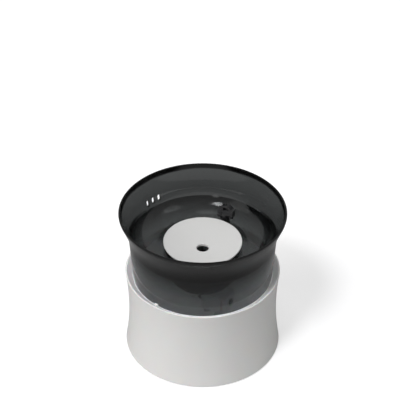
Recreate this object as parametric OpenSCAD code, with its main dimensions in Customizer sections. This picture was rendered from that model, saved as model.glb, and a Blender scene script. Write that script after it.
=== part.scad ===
// Pet water fountain: a white water tank with a hollow skirt, a smoked clear bowl that stands
// on the tank's ledge, a filter cup with a two-lobed filter and its lid, and a small pump.
// Millimetres, +Z up. The origin is the middle of the circle of feet, on the surface.
// -Y is the front. Everything is drawn put together, as it stands in use.

/* [Base] */
// Height of the base above the surface
base_h = 114; // [110:1:118]
// Outer radius of the base at its narrow waist
waist_r = 94.8; // [94:0.2:96]
// Height of the waist
waist_z = 64; // [62:1:68]
// Radius of the long curve that the outside follows
flare_r = 379; // [360:1:400]
// Wall thickness of the white moulding
base_wall = 2.5; // [2.2:0.1:2.8]
// Depth of the sloped recess in the rim
recess_depth = 5.5; // [5:0.5:6]
// Inner radius of the ledge that carries the bowl
ledge_r = 86.6; // [86:0.2:87]
// Height of the tank's floor, on its wet side
tank_floor_z = 8; // [7.5:0.5:8.5]
// Height of a rubber foot
foot_h = 2.5; // [2.3:0.1:2.6]

/* [Bowl] */
// Outer radius of the bowl's rim
rim_r = 105; // [103:1:107]
// Height of the bowl from its foot to its rim
bowl_h = 95; // [93:1:97]
// Outer radius of the bowl's foot
bowl_foot_r = 88.6; // [88.4:0.1:89]
// How far below the rim the flare turns into the skirt
knee_drop = 30; // [28:1:32]
// Outer radius of the bowl where the flare turns into the skirt
knee_r = 93; // [92.6:0.2:93.4]
// Wall thickness of the bowl
bowl_wall = 2.4; // [2.2:0.1:2.6]
// How far below the rim the drinking floor lies
floor_drop = 57; // [56:1:58]

/* [Filter cup, filter and lid] */
// Inner radius of the cup's mouth
cup_r = 44; // [43.8:0.1:44.2]
// How far below the drinking floor the cup reaches
cup_depth = 48; // [46:1:50]
// How far below the drinking floor the filter sits
seat_drop = 20; // [20:0.5:21]
// Outer radius of the filter's flange
flange_r = 43.3; // [43:0.1:43.4]
// Outer radius of the filter's two pads
pad_r = 40; // [39:0.5:40.5]
// Height of a filter pad at its crown
pad_h = 9.5; // [8:0.5:9.5]
// Radius of the lid's plate
plate_r = 49.5; // [48:0.5:49.5]
// Thickness of the lid's plate
plate_t = 3.2; // [3:0.1:3.5]
// Radius of the finger hole in the plate
finger_r = 7.5; // [7:0.5:8]
// Radius of the lid's skirt
lid_skirt_r = 42.8; // [42.4:0.2:43]
// How far the lid's skirt reaches below the plate
lid_drop = 15.5; // [15:0.5:15.5]
// How high the plate stands above the cup's ring
lug_h = 6; // [6:0.5:6.5]

/* [Riser, nozzle and pump] */
// Place of the riser to the right of the middle
riser_x = 28.5; // [28.5:0.5:29]
// Place of the riser behind the middle
riser_y = 51.5; // [51.5:0.5:52]
// Outer radius of the riser
riser_r = 4.5; // [4.4:0.1:4.6]
// Radius of the riser's bore
riser_bore_r = 2.8; // [2.6:0.1:2.9]
// Height of the nozzle's barrel above the drinking floor
barrel_rise = 17; // [16.5:0.5:18]
// Direction in which the barrel points, in degrees from the right
barrel_turn = -20; // [-24:1:-16]
// Direction in which the pump's intake points, in degrees from the right
pump_turn = -29; // [-30:1:-28]
// Height of the pump's body
pump_h = 25; // [25:0.5:26]

/* [Cord] */
// Diameter of the cord
cord_d = 3.6; // [3.4:0.1:3.8]
// Height of the cord's outlet
outlet_z = 97; // [96:0.5:98]
// Direction of the cord's outlet, in degrees from the right
outlet_turn = 71; // [70:1:72]
// Turns in each of the coil's two layers
coil_turns = 4; // [3:1:4]

/* [Hidden] */
$fn = 96;

eps = 0.01;
front = 270;

// Colours, as the real finishes look from a step away
white_plastic = [0.93, 0.93, 0.92];
smoked_plastic = [0.25, 0.27, 0.27, 0.6];
dark_plastic = [0.33, 0.34, 0.34];
plate_grey = [0.83, 0.83, 0.81];
pump_white = [0.90, 0.90, 0.93];
rubber_black = [0.06, 0.06, 0.06];
nozzle_black = [0.05, 0.05, 0.055];
cord_grey = [0.80, 0.80, 0.80];
steel = [0.70, 0.70, 0.72];

// Points on an arc, from angle a0 to a1
function arc(cx, cz, r, a0, a1, steps) =
    [for (i = [0 : steps]) let (a = a0 + (a1 - a0) * i / steps) [cx + r * cos(a), cz + r * sin(a)]];

// Base: heights and radii worked out from the driving dimensions
skirt_z = 1.5;
flare_x = waist_r + flare_r;
function skirt_r(z) = flare_x - sqrt(pow(flare_r, 2) - pow(z - waist_z, 2));
lip_round = 0.8;
lip_r = skirt_r(base_h);
recess_top_r = lip_r - 1.9;
seat_z = base_h - recess_depth;
seat_r = bowl_foot_r + 0.8;
tank_foot_r = 79.8;
tank_fillet = 12;
tank_side_z = tank_floor_z + tank_fillet;
cover_t = 2;
cover_r = skirt_r(skirt_z + cover_t) - base_wall - 0.5;
boss_r = 4.5;
boss_ring_r = 86.4;
boss_top_z = 40;
pilot_r = 1.35;
foot_ring_r = 88;
foot_r = 7;
post_y = 81.5;
post_r = 8.75;
post_top_z = 74;
post_wall = 2.2;
strip_y = 80.8;
strip_top_z = 103.5;
key_turn = 230;
key_w = 5;
key_h = 2.4;

// Bowl
bowl_z = seat_z;
rim_z = bowl_z + bowl_h;
floor_z = rim_z - floor_drop;
knee_z = rim_z - knee_drop;
knee_soft = 12;
skirt_slope = (knee_r - bowl_foot_r) / (knee_z - bowl_z);
rim_slope = (rim_r - knee_r) / knee_drop;
function bowl_r(z) = let (dz = z - knee_z) knee_r
    + (dz > knee_soft ? rim_slope * dz
        : dz < -knee_soft ? skirt_slope * dz
        : skirt_slope * dz + (rim_slope - skirt_slope) * pow(dz + knee_soft, 2) / (4 * knee_soft));
// The basin leaves the wall at the knee and rounds down to the drinking floor
knee_lean = atan((rim_slope + skirt_slope) / 2);
basin_r = (knee_z - floor_z) / (1 - sin(knee_lean));
basin_x = bowl_r(knee_z) - bowl_wall - basin_r * cos(knee_lean);
basin_z = floor_z + basin_r;
// Angle at which the basin's underside meets the skirt
function fork_angle(a) = basin_x + (basin_r + bowl_wall) * cos(a)
    < bowl_r(basin_z + (basin_r + bowl_wall) * sin(a)) - bowl_wall ? a : fork_angle(a - 0.5);
fork_a = fork_angle(-knee_lean);
fork_z = basin_z + (basin_r + bowl_wall) * sin(fork_a);
overflow_turn = 134;
overflow_step = 6;
overflow_z = rim_z - 32;
overflow_w = 4.2;

// Cup, filter and lid
ring_top_z = floor_z + 1.2;
ring_r = cup_r + 3.5;
cup_wall = 2;
cup_bottom_z = floor_z - cup_depth;
filter_z = floor_z - seat_drop;
flange_t = 1.2;
pad_z = filter_z + flange_t;
pad_gap = 0.9;
plate_z = ring_top_z + lug_h;
lid_bottom_z = plate_z - lid_drop;
finger_y = -14;
lip_outer_r = 37;
lug_w = 18;

// Riser, nozzle and pump
riser_bottom_z = 47.5;
collar_top_z = floor_z + 3.5;
riser_top_z = collar_top_z + 6;
barrel_z = floor_z + barrel_rise;
pump_z = 13;
pump_top_z = pump_z + pump_h;
pump_axis_y = -7.5;
pump_axis_z = pump_z + 12.5;
shaft_r = 1;
chamber_r = 10.5;
well_r = 7.6;
gland_y = -15;
gland_z = 24;

module tank_and_skirt_profile() {
    up = asin((base_h - lip_round - waist_z) / flare_r);
    down = asin((skirt_z - waist_z) / flare_r);
    polygon(concat(
        [for (p = arc(flare_x, waist_z, flare_r, 180 - down, 180 - up, 22)) p],
        arc(lip_r - lip_round, base_h - lip_round, lip_round, 20, 90, 4),
        [[recess_top_r, base_h], [seat_r, seat_z], [ledge_r, seat_z]],
        arc(tank_foot_r - tank_fillet, tank_side_z, tank_fillet, 0, -90, 8),
        [[0, tank_floor_z], [0, tank_floor_z - base_wall]],
        arc(tank_foot_r - tank_fillet, tank_side_z, tank_fillet + base_wall, -90, 0, 8),
        [[ledge_r + base_wall, seat_z - base_wall]],
        [for (p = arc(flare_x, waist_z, flare_r + base_wall,
            180 - asin((seat_z - base_wall - waist_z) / (flare_r + base_wall)),
            180 - asin((skirt_z - waist_z) / (flare_r + base_wall)), 20)) p]
    ));
}

// The half-round post on the tank's back wall, and the raised strip above it
module back_post() {
    translate([0, post_y, tank_floor_z - base_wall])
        cylinder(r = post_r, h = post_top_z - tank_floor_z + base_wall);
    translate([-post_r, strip_y, post_top_z - 4])
        cube([2 * post_r, 5, strip_top_z - post_top_z + 4]);
}

module base_shell() {
    color(white_plastic)
        difference() {
            union() {
                rotate_extrude() tank_and_skirt_profile();
                back_post();
                for (a = [45 : 90 : 315])
                    rotate(a) translate([boss_ring_r, 0, skirt_z + cover_t])
                        cylinder(r = boss_r, h = boss_top_z - skirt_z - cover_t);
                rotate(key_turn) translate([ledge_r + 0.6, -key_w / 2, seat_z - 1])
                    cube([seat_r - ledge_r, key_w, key_h + 1]);
            }
            translate([0, post_y, -eps]) cylinder(r = post_r - post_wall, h = post_top_z - post_wall);
            for (a = [45 : 90 : 315])
                rotate(a) translate([boss_ring_r, 0, -eps]) cylinder(r = pilot_r, h = 16);
            rotate(outlet_turn) translate([80, 0, outlet_z]) rotate([0, 90, 0])
                cylinder(r = 4, h = 25);
        }
}

module bottom_cover() {
    color(white_plastic)
        difference() {
            translate([0, 0, skirt_z]) cylinder(r = cover_r, h = cover_t);
            for (a = [0 : 90 : 270])
                rotate(a) translate([foot_ring_r, 0, -eps]) cylinder(r = foot_r + 0.1, h = foot_h + eps);
            for (a = [45 : 90 : 315]) rotate(a) translate([boss_ring_r, 0, 0]) {
                cylinder(r = 1.6, h = 10);
                translate([0, 0, skirt_z - eps]) cylinder(r1 = 3.1, r2 = 1.6, h = 1.5);
            }
            // Vent slots that let the hollow skirt drain
            for (a = [0 : 30 : 150])
                rotate(a) translate([-30, -1.2, 0]) cube([14, 2.4, 10]);
        }
}

module cover_screws() {
    color(steel)
        for (a = [45 : 90 : 315]) rotate(a) translate([boss_ring_r, 0, skirt_z + 0.05])
            difference() {
                union() {
                    cylinder(r1 = 2.95, r2 = 1.3, h = 1.6);
                    cylinder(r = 1.3, h = 12);
                }
                for (turn = [0, 90])
                    rotate(turn) translate([-1.7, -0.35, -eps]) cube([3.4, 0.7, 0.8]);
            }
}

module rubber_feet() {
    color(rubber_black)
        for (a = [0 : 90 : 270]) rotate(a) translate([foot_ring_r, 0, 0])
            rotate_extrude() polygon([[0, 0], [foot_r - 0.8, 0], [foot_r, 0.8], [foot_r, foot_h], [0, foot_h]]);
}

// Rubber grommet through the tank wall and the skirt, with a tapered tail outside
module cord_grommet() {
    inner_r = 83.5;
    flange_r = 5.8;
    outer_r = skirt_r(outlet_z + flange_r) + 0.05;
    tail_r = 113;
    color(white_plastic)
        rotate(outlet_turn) translate([0, 0, outlet_z]) rotate([0, 90, 0])
            intersection() {
                rotate_extrude() polygon([
                    [0, inner_r], [5.2, inner_r], [5.6, inner_r + 0.8], [5.6, inner_r + 1.2],
                    [3.95, inner_r + 1.2], [3.95, outer_r],
                    [flange_r, outer_r], [flange_r - 0.4, outer_r + 1.4],
                    [3.6, outer_r + 2], [2.5, tail_r], [0, tail_r]
                ]);
                translate([0, 0, 60]) cylinder(r = 10, h = 70);
            }
}

// The pump stands under the riser. Its own +x points to the intake, its own +y to the wall.
module at_pump() {
    translate([riser_x, riser_y, 0]) rotate(pump_turn) children();
}

module rounded_block(low, high, r) {
    size = high - low;
    translate(low) {
        translate([r, 0, 0]) cube([size.x - 2 * r, size.y, size.z]);
        translate([0, r, 0]) cube([size.x, size.y - 2 * r, size.z]);
        for (x = [r, size.x - r], y = [r, size.y - r])
            translate([x, y, 0]) cylinder(r = r, h = size.z, $fn = 48);
    }
}

module along_pump_axis(x0, x1, r) {
    translate([x0, pump_axis_y, pump_axis_z]) rotate([0, 90, 0]) cylinder(r = r, h = x1 - x0);
}

body_low = [-21, -22, pump_z];
body_high = [6, 6.5, pump_top_z];

module pump_housing() {
    color(pump_white) at_pump()
        difference() {
            union() {
                rounded_block(body_low, body_high, 3);
                translate([0, 0, pump_top_z - eps]) cylinder(r = 6, h = 6.5);
                translate([0, 0, pump_top_z - eps]) cylinder(r = 8, h = 1.5);
            }
            along_pump_axis(-4, 4 + eps, chamber_r);
            along_pump_axis(4, 7, chamber_r + 1);
            along_pump_axis(-19.3, 0, well_r);
            along_pump_axis(-20.4, 0, shaft_r + 0.01);
            translate([0, 0, pump_axis_z]) cylinder(r = riser_bore_r, h = 40);
            difference() {
                translate([-21 - eps, -20, pump_z + 2]) cube([14.5, 24.7, pump_h - 4]);
                along_pump_axis(-22, -3, well_r + 1.4);
            }
        }
}

module pump_stator() {
    color(steel) at_pump()
        difference() {
            translate([-20.6, -19.8, pump_z + 2.2]) cube([13.8, 24.3, pump_h - 4.4]);
            along_pump_axis(-22, -3, well_r + 1.6);
        }
}

module pump_back_plate() {
    color(pump_white) at_pump()
        rounded_block([-23.2, -21, pump_z + 1], [-21, 5.5, pump_top_z - 1], 1);
}

module pump_shaft() {
    color("white") at_pump() along_pump_axis(-20.4, 5.6, shaft_r);
}

module pump_chamber_cap() {
    color(pump_white) at_pump()
        difference() {
            along_pump_axis(4, 6, chamber_r + 0.9);
            difference() {
                along_pump_axis(3, 7, 5.5);
                along_pump_axis(3, 7, 2.2);
                translate([3, pump_axis_y - 0.8, pump_axis_z - 6]) cube([4, 1.6, 12]);
                translate([3, pump_axis_y - 6, pump_axis_z - 0.8]) cube([4, 12, 1.6]);
            }
            along_pump_axis(3, 7, shaft_r + 0.01);
        }
}

module pump_outlet_seal() {
    color(rubber_black) at_pump()
        translate([0, 0, pump_top_z + 6.5 - eps])
            rotate_extrude() polygon([
                [riser_bore_r, 0], [6, 0], [6.4, 0.8], [6, 2.7], [riser_bore_r + 0.6, 2.7], [riser_bore_r, 2]
            ]);
}

module pump_suction_cups() {
    color([0.85, 0.87, 0.88]) at_pump()
        for (x = [-16, 1], y = [-17, 1.5]) translate([x, y, tank_floor_z])
            rotate_extrude() polygon([
                [0, 1], [3.6, 0], [4.8, 0], [4.6, 0.7], [2, 2.4], [2, 3.4], [3, 3.4], [3, 5], [0, 5]
            ]);
}

module pump_cord_gland() {
    color(rubber_black) at_pump()
        translate([-23.2, gland_y, gland_z]) rotate([0, -90, 0])
            rotate_extrude() polygon([[0, 0], [4, 0], [4, 1.2], [3, 1.8], [2.3, 6.8], [0, 6.8]]);
}

module intake_cover() {
    color(pump_white) at_pump()
        difference() {
            rounded_block([6.35, -21.5, pump_z + 0.5], [13.5, 6, pump_top_z - 0.5], 3);
            translate([6, -20, pump_z + 2]) cube([5.8, 24.5, pump_h - 4]);
            for (i = [0 : 8]) translate([5, -18.4 + i * 2.7, pump_z + 5])
                cube([10, 1.3, abs(i - 4) < 2 ? 3 : 15]);
            for (i = [3 : 5]) translate([5, -18.4 + i * 2.7, pump_z + 18.5]) cube([10, 1.3, 3]);
            along_pump_axis(10, 15, 1.55);
        }
}

module intake_sponge() {
    color([0.20, 0.22, 0.24]) at_pump()
        difference() {
            rounded_block([6.7, -19.5, pump_z + 2.5], [11.3, 4, pump_top_z - 2.5], 1);
            along_pump_axis(6, 12, 2.2);
        }
}

module flow_dial() {
    color(nozzle_black) at_pump() {
        difference() {
            along_pump_axis(13.8, 15.8, 5);
            translate([15, pump_axis_y - 0.6, pump_axis_z]) cube([2, 1.2, 6]);
        }
        along_pump_axis(11.9, 13.8 + eps, 1.5);
    }
}

module impeller() {
    color(pump_white) at_pump()
        difference() {
            union() {
                along_pump_axis(-3.7, -2.7, 9.4);
                along_pump_axis(-18.6, 3.4, 3.2);
                for (a = [0 : 60 : 300])
                    translate([-2.7 - eps, pump_axis_y, pump_axis_z]) rotate([a, 0, 0])
                        translate([0, -0.6, 0]) cube([5.6, 1.2, 9.3]);
            }
            along_pump_axis(-20, 5, shaft_r + 0.06);
        }
}

module rotor_magnet() {
    color([0.12, 0.12, 0.13]) at_pump()
        difference() {
            along_pump_axis(-18.2, -4.2, 6.9);
            along_pump_axis(-20, 0, 3.2);
        }
}

// Bowl: the flared wall runs down past the drinking floor as a skirt
module bowl_profile() {
    rim_soft = 1.2;
    foot_soft = 0.6;
    polygon(concat(
        [[bowl_foot_r - bowl_wall, bowl_z], [bowl_foot_r - foot_soft, bowl_z]],
        [for (i = [0 : 26]) let (z = bowl_z + foot_soft + (bowl_h - foot_soft - rim_soft) * i / 26) [bowl_r(z), z]],
        [[rim_r - 0.5, rim_z - 0.3], [rim_r - 1.2, rim_z], [rim_r - 2, rim_z - 0.2]],
        [for (i = [0 : 8]) let (z = rim_z - rim_soft - (knee_drop - rim_soft - 1) * i / 8)
            [bowl_r(z) - bowl_wall, z]],
        arc(basin_x, basin_z, basin_r, -knee_lean, -90, 14),
        [[cup_r + 2.2, floor_z], [cup_r + 2.2, floor_z - bowl_wall]],
        arc(basin_x, basin_z, basin_r + bowl_wall, -90, fork_a, 12),
        [for (i = [0 : 8]) let (z = fork_z - 1.5 - (fork_z - 1.5 - bowl_z - 1) * i / 8) [bowl_r(z) - bowl_wall, z]]
    ));
}

module overflow_slot() {
    rotate([0, 90, 0]) {
        for (dz = [-1, 1]) translate([dz * overflow_w / 2, 0, 0]) cylinder(d = overflow_w, h = 22, $fn = 32);
        translate([-overflow_w / 2, -overflow_w / 2, 0]) cube([overflow_w, overflow_w, 22]);
    }
}

module bowl_shell() {
    color(smoked_plastic)
        difference() {
            union() {
                rotate_extrude() bowl_profile();
                translate([riser_x, riser_y, floor_z - 10]) cylinder(r = 6.6, h = 13.5);
            }
            translate([riser_x, riser_y, 0]) cylinder(r = riser_r + 0.03, h = 300);
            for (i = [-1 : 1])
                rotate(overflow_turn + i * overflow_step) translate([83, 0, overflow_z]) overflow_slot();
            rotate(key_turn) translate([80, -key_w / 2 - 0.7, bowl_z - 1]) cube([20, key_w + 1.4, 4]);
        }
}

module filter_cup_profile() {
    low_z = cup_bottom_z + cup_wall;
    polygon(concat(
        [[0, cup_bottom_z], [30.5, cup_bottom_z]],
        arc(30.5, cup_bottom_z + 11, 11, -80, -18, 7),
        [[cup_r + 1.3, filter_z - 3], [cup_r + 2, floor_z], [ring_r, floor_z], [ring_r, ring_top_z - 0.4]],
        [[ring_r - 0.4, ring_top_z], [cup_r + 0.6, ring_top_z], [cup_r, ring_top_z - 0.6]],
        [[cup_r - 0.3, filter_z], [cup_r - 6, filter_z], [cup_r - 6, filter_z - 1.6], [cup_r - 0.8, filter_z - 3.6]],
        arc(30.5, cup_bottom_z + 11, 9, -18, -80, 7),
        [[0, low_z]]
    ));
}

// The filter cup hangs in the bowl's floor: a ring and spokes carry the filter, and slots let
// the clean water fall back into the tank
module filter_cup() {
    hoop_r = 26;
    color([0.16, 0.17, 0.17, 0.75])
        difference() {
            union() {
                rotate_extrude() filter_cup_profile();
                difference() {
                    translate([0, 0, filter_z - 1.6]) cylinder(r = hoop_r, h = 1.6);
                    translate([0, 0, filter_z - 3]) cylinder(r = hoop_r - 2, h = 5);
                }
                for (a = [30 : 60 : 330])
                    rotate(a) translate([hoop_r - 1, -1, filter_z - 1.6]) cube([cup_r - 4 - hoop_r, 2, 1.6]);
            }
            for (a = [15 : 30 : 345])
                rotate(a) translate([9, -1.5, cup_bottom_z - 1]) cube([17, 3, 5]);
            for (a = [-60 : 60 : 60])
                rotate(a + front) translate([34, -6, cup_bottom_z + 12]) cube([14, 12, 3.6]);
        }
}

module riser_tube() {
    color(smoked_plastic)
        translate([riser_x, riser_y, 0])
            rotate_extrude() polygon([
                [riser_bore_r, riser_bottom_z], [5.8, riser_bottom_z], [6, riser_bottom_z + 2.5],
                [riser_r, riser_bottom_z + 4], [riser_r, riser_top_z], [riser_bore_r, riser_top_z]
            ]);
}

module riser_seal() {
    color(rubber_black)
        translate([riser_x, riser_y, floor_z - 12.2])
            rotate_extrude() polygon([[riser_r + 0.02, 0], [6.2, 0], [6.6, 1.1], [6.2, 2.2], [riser_r + 0.02, 2.2]]);
}

// The nozzle's own +x runs along its barrel, away from the knob
module at_nozzle() {
    translate([riser_x, riser_y, barrel_z]) rotate(barrel_turn) children();
}

module along_barrel(x0, x1, r) {
    translate([x0, 0, 0]) rotate([0, 90, 0]) cylinder(r = r, h = x1 - x0);
}

module nozzle_body() {
    hood_r = 11.5;
    color(nozzle_black) at_nozzle()
        difference() {
            union() {
                translate([0, 0, collar_top_z - barrel_z]) cylinder(r = 6, h = riser_top_z + 0.2 - collar_top_z);
                intersection() {
                    translate([0, 0, collar_top_z - barrel_z]) cylinder(r = 6, h = barrel_z - collar_top_z);
                    translate([-3, -7, -20]) cube([12, 14, 20]);
                }
                along_barrel(-3, 10, 5.6);
                along_barrel(9.2, 11.8, 7);
                // Quarter-round hood that throws the water out over the barrel's end
                intersection() {
                    rotate([90, 0, 0]) translate([0, 0, -4.5]) difference() {
                        cylinder(r = hood_r, h = 9);
                        translate([0, 0, -1]) cylinder(r = hood_r - 1.5, h = 11);
                    }
                    translate([-3, -5, 0]) cube([16, 10, 14]);
                }
                translate([-3, -4.5, 3]) cube([1.5, 9, 8]);
            }
            translate([0, 0, collar_top_z - barrel_z - 1]) cylinder(r = riser_r + 0.03, h = 7);
            translate([0, 0, collar_top_z - barrel_z]) cylinder(r = riser_bore_r, h = 26);
            along_barrel(-4, 6.5, 4);
            for (a = [0 : 60 : 300]) rotate([a, 0, 0]) translate([11, 0, 4.6])
                rotate([0, 90, 0]) cylinder(r = 0.9, h = 2, $fn = 24);
        }
}

module nozzle_knob() {
    color(nozzle_black) at_nozzle()
        difference() {
            union() {
                along_barrel(-8.2, -3.4, 6.6);
                along_barrel(-3.4 - eps, 6.2, 3.95);
                for (a = [0 : 30 : 330]) rotate([a, 0, 0]) translate([-8.2, -0.7, 6])
                    cube([4.8, 1.4, 1]);
            }
            translate([0, 0, -5]) cylinder(r = 2.4, h = 10);
            translate([-8.3, -0.6, 0]) cube([0.8, 1.2, 5.5]);
        }
}

module filter_frame() {
    inner_r = 37.5;
    color([0.90, 0.91, 0.92, 0.5])
        translate([0, 0, filter_z]) {
            difference() {
                cylinder(r = flange_r, h = flange_t);
                translate([0, 0, -1]) cylinder(r = inner_r, h = 4);
            }
            translate([-3, -inner_r - 0.5, 0]) cube([6, 2 * inner_r + 1, flange_t]);
        }
}

// Outline of the right-hand pad: a half-moon with rounded corners, walked anticlockwise
corner_r = 9;
corner_y = sqrt(pow(pad_r - corner_r, 2) - pow(pad_gap + corner_r, 2));
corner_a = atan2(corner_y, pad_gap + corner_r);
pad_outline = concat(
    arc(0, 0, pad_r, -corner_a, corner_a, 18),
    arc(pad_gap + corner_r, corner_y, corner_r, corner_a + 15, 180, 6),
    arc(pad_gap + corner_r, -corner_y, corner_r, 180, 360 - corner_a - 15, 6)
);
pad_middle = [pad_r * 0.44, 0];
// How far in and how high each ring of the pad's puffed side lies
pad_levels = [for (a = [0 : 15 : 75]) [1 - 0.42 * (1 - cos(a)), pad_h * sin(a)]];

function pad_ring(level) = [for (p = pad_outline) let (q = pad_middle + (p - pad_middle) * level[0])
    [q.x, q.y, level[1]]];

// A puffed pouch: flat below, steep sides that lean in, and a low crown
module pad() {
    n = len(pad_outline);
    rows = len(pad_levels);
    rings = [for (level = pad_levels) each pad_ring(level)];
    top = len(rings);
    bottom = top + 1;
    polyhedron(
        points = concat(rings, [[pad_middle.x, pad_middle.y, pad_h * 1.0]], [[pad_middle.x, pad_middle.y, 0]]),
        faces = concat(
            [for (k = [0 : rows - 2], i = [0 : n - 1]) let (j = (i + 1) % n)
                each [[k * n + i, (k + 1) * n + j, k * n + j], [k * n + i, (k + 1) * n + i, (k + 1) * n + j]]],
            [for (i = [0 : n - 1]) [(rows - 1) * n + i, top, (rows - 1) * n + (i + 1) % n]],
            [for (i = [0 : n - 1]) [(i + 1) % n, bottom, i]]
        )
    );
}

module filter_pad_right() {
    color([0.72, 0.73, 0.73]) translate([0, 0, pad_z]) pad();
}

module filter_pad_left() {
    color([0.72, 0.73, 0.73]) translate([0, 0, pad_z]) rotate(180) pad();
}

module lid_plate() {
    color(plate_grey)
        difference() {
            union() {
                translate([0, 0, plate_z]) rotate_extrude() polygon([
                    [0, 0], [plate_r - 1.2, 0], [plate_r, 1.4], [plate_r, plate_t - 0.7],
                    [plate_r - 0.7, plate_t], [0, plate_t]
                ]);
                // Locating lip that drops inside the lid's body
                difference() {
                    translate([0, 0, plate_z - 2.5]) cylinder(r = lip_outer_r, h = 2.5 + eps);
                    translate([0, 0, plate_z - 3]) cylinder(r = lip_outer_r - 2, h = 3);
                }
            }
            translate([0, finger_y, plate_z - 5]) cylinder(r = finger_r, h = 12);
            // The lip opens where the scoop reaches in
            translate([-20, -40, plate_z - 4]) cube([40, 18, 4]);
        }
}

// Water runs down the scoop at the front of the lid's body
scoop_y = -37;
scoop_low_r = 11;
scoop_high_r = 16;

module scoop(grow, below) {
    translate([0, scoop_y, lid_bottom_z - below])
        cylinder(r1 = scoop_low_r + grow, r2 = scoop_high_r + grow, h = lid_drop + 2 * below);
}

module lid_body() {
    wall = 2;
    color(dark_plastic)
        difference() {
            union() {
                difference() {
                    translate([0, 0, lid_bottom_z]) cylinder(r = lid_skirt_r, h = lid_drop);
                    translate([0, 0, lid_bottom_z - 1]) cylinder(r = lid_skirt_r - wall, h = lid_drop - 0.8);
                    translate([0, 0, lid_bottom_z]) cylinder(r = lip_outer_r + 0.2, h = 30);
                }
                intersection() {
                    scoop(wall, 0);
                    translate([0, 0, lid_bottom_z]) cylinder(r = lid_skirt_r, h = lid_drop);
                }
                for (a = [0, 90, 180]) rotate(a) intersection() {
                    translate([0, 0, ring_top_z]) difference() {
                        cylinder(r = ring_r - 0.8, h = lug_h);
                        translate([0, 0, -1]) cylinder(r = lid_skirt_r - 1, h = lug_h + 2);
                    }
                    translate([30, -lug_w / 2, 0]) cube([30, lug_w, 300]);
                }
            }
            scoop(0, 0.02);
        }
}

// Cord: its two free stretches follow points chosen by hand
function u_pump(x, y) = [
    riser_x + x * cos(pump_turn) - y * sin(pump_turn),
    riser_y + x * sin(pump_turn) + y * cos(pump_turn)
];
function out(r, z) = [r * cos(outlet_turn), r * sin(outlet_turn), z];
gland_end = concat(u_pump(-30, gland_y), gland_z);
route_inside = [
    gland_end, [-8.7, 55, 24], [-12.1, 57.4, 21], [-14.4, 60.8, 16], [-14, 64.6, 12.4],
    [-10.5, 67.6, 10.8], [-5, 68.8, 10.2], [1, 69, 10.2], [7, 70.4, 10.6], [13, 71.8, 11.2],
    [19, 72.2, 12.6], [24.5, 71.4, 16], [27.5, 70.6, 22], [28.6, 70.4, 30], [29, 70.6, 40],
    [29, 70.8, 50], [28.6, 71, 60], [27.6, 71.2, 70], [26.2, 71.2, 80], [25, 71.2, 87],
    [24.7, 72, 92], [25.3, 74.2, 95.6], out(81, 97), out(83.5, 97)
];
route_outside = [
    out(113, 97), out(117.4, 97), out(121.9, 94.8), out(125, 90.4), out(126.8, 85), out(127.6, 77),
    out(128, 66), out(128.2, 55), out(128.4, 44), [41.9, 121.6, 33], [41.9, 121.8, 23],
    [41.2, 122.4, 14], [38.8, 124.6, 7], [35.4, 127.4, 3.2], [31.8, 130.6, 1.8], [28.9, 134.4, 1.8],
    [26.9, 138.8, 1.8], [25.6, 143.6, 1.8], [25, 148.4, 1.8]
];

function unit(v) = v / norm(v);
function heading(p, i) = unit(p[min(i + 1, len(p) - 1)] - p[max(i - 1, 0)]);
function square_to(v, t) = unit(v - (v * t) * t);
// Side vectors carried along the route without twist
function sides_along(p, i, last) = i == len(p) ? []
    : let (s = square_to(last, heading(p, i))) concat([s], sides_along(p, i + 1, s));
function length_of(p) = len(p) < 2 ? 0 : sum([for (i = [1 : len(p) - 1]) norm(p[i] - p[i - 1])]);
function sum(v) = v * [for (x = v) 1];

module tube(p, first_side, sides, d) {
    side = sides_along(p, 0, first_side);
    n = len(p);
    ring = [for (i = [0 : n - 1]) let (t = heading(p, i), s = side[i], u = cross(t, s))
        for (k = [0 : sides - 1]) let (a = 360 * k / sides) p[i] + (s * cos(a) + u * sin(a)) * d / 2];
    polyhedron(
        points = concat(ring, [p[0], p[n - 1]]),
        faces = concat(
            [for (i = [0 : n - 2], k = [0 : sides - 1]) let (m = (k + 1) % sides)
                each [[i * sides + k, (i + 1) * sides + m, i * sides + m],
                    [i * sides + k, (i + 1) * sides + k, (i + 1) * sides + m]]],
            [for (k = [0 : sides - 1]) [k, (k + 1) % sides, n * sides]],
            [for (k = [0 : sides - 1]) [(n - 1) * sides + (k + 1) % sides, (n - 1) * sides + k, n * sides + 1]]
        )
    );
}

// The coil: one tube that spirals in on the floor, climbs a layer in the half turn where it
// reverses, and spirals out again on top. Its tail turns back beside it to the plug.
coil_x = -5;
coil_y = 152;
coil_outer_r = 30;
coil_pitch = cord_d + 0.55;
loop_rings = 24;
coil_steps = coil_turns * loop_rings;
function coil_radius(turn) = coil_outer_r - coil_pitch * (turn < coil_turns ? turn : 2 * coil_turns - turn);
function coil_climb(turn) = coil_pitch * max(0, min(1, (turn - coil_turns + 0.25) * 2));
coil_spiral = [for (i = [0 : 2 * coil_steps]) let (turn = i / loop_rings, a = 360 * turn)
    [coil_x + coil_radius(turn) * cos(a), coil_y + coil_radius(turn) * sin(a), cord_d / 2 + coil_climb(turn)]];
coil_tail = [
    [25, 158, 5.9], [25.8, 163, 5.6], [28.4, 168.6, 4.6], [33.8, 173.4, 3.2], [40, 175.4, 2.2], [46.4, 175, 1.8],
    [52.4, 172.4, 1.8], [57, 167.6, 2.2], [59.5, 162, 3.4], [60, 157, 4.4], [60, 152.6, 4.5]
];
coil_route = concat([coil_spiral[0] - [0, cord_d, 0]], coil_spiral, coil_tail);

// The least gap between the coil's own turns and its tail, measured on its points
coil_gap = min([for (i = [0 : len(coil_route) - 13], j = [i + 12 : len(coil_route) - 1])
    norm(coil_route[i] - coil_route[j])]) - cord_d;
echo(least_gap_in_coil = coil_gap, coil_length = length_of(coil_route),
    inside_length = length_of(route_inside), outside_length = length_of(route_outside));

module cord_inside() {
    color(cord_grey) tube(route_inside, [0, 0, 1], 8, cord_d);
}

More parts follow.
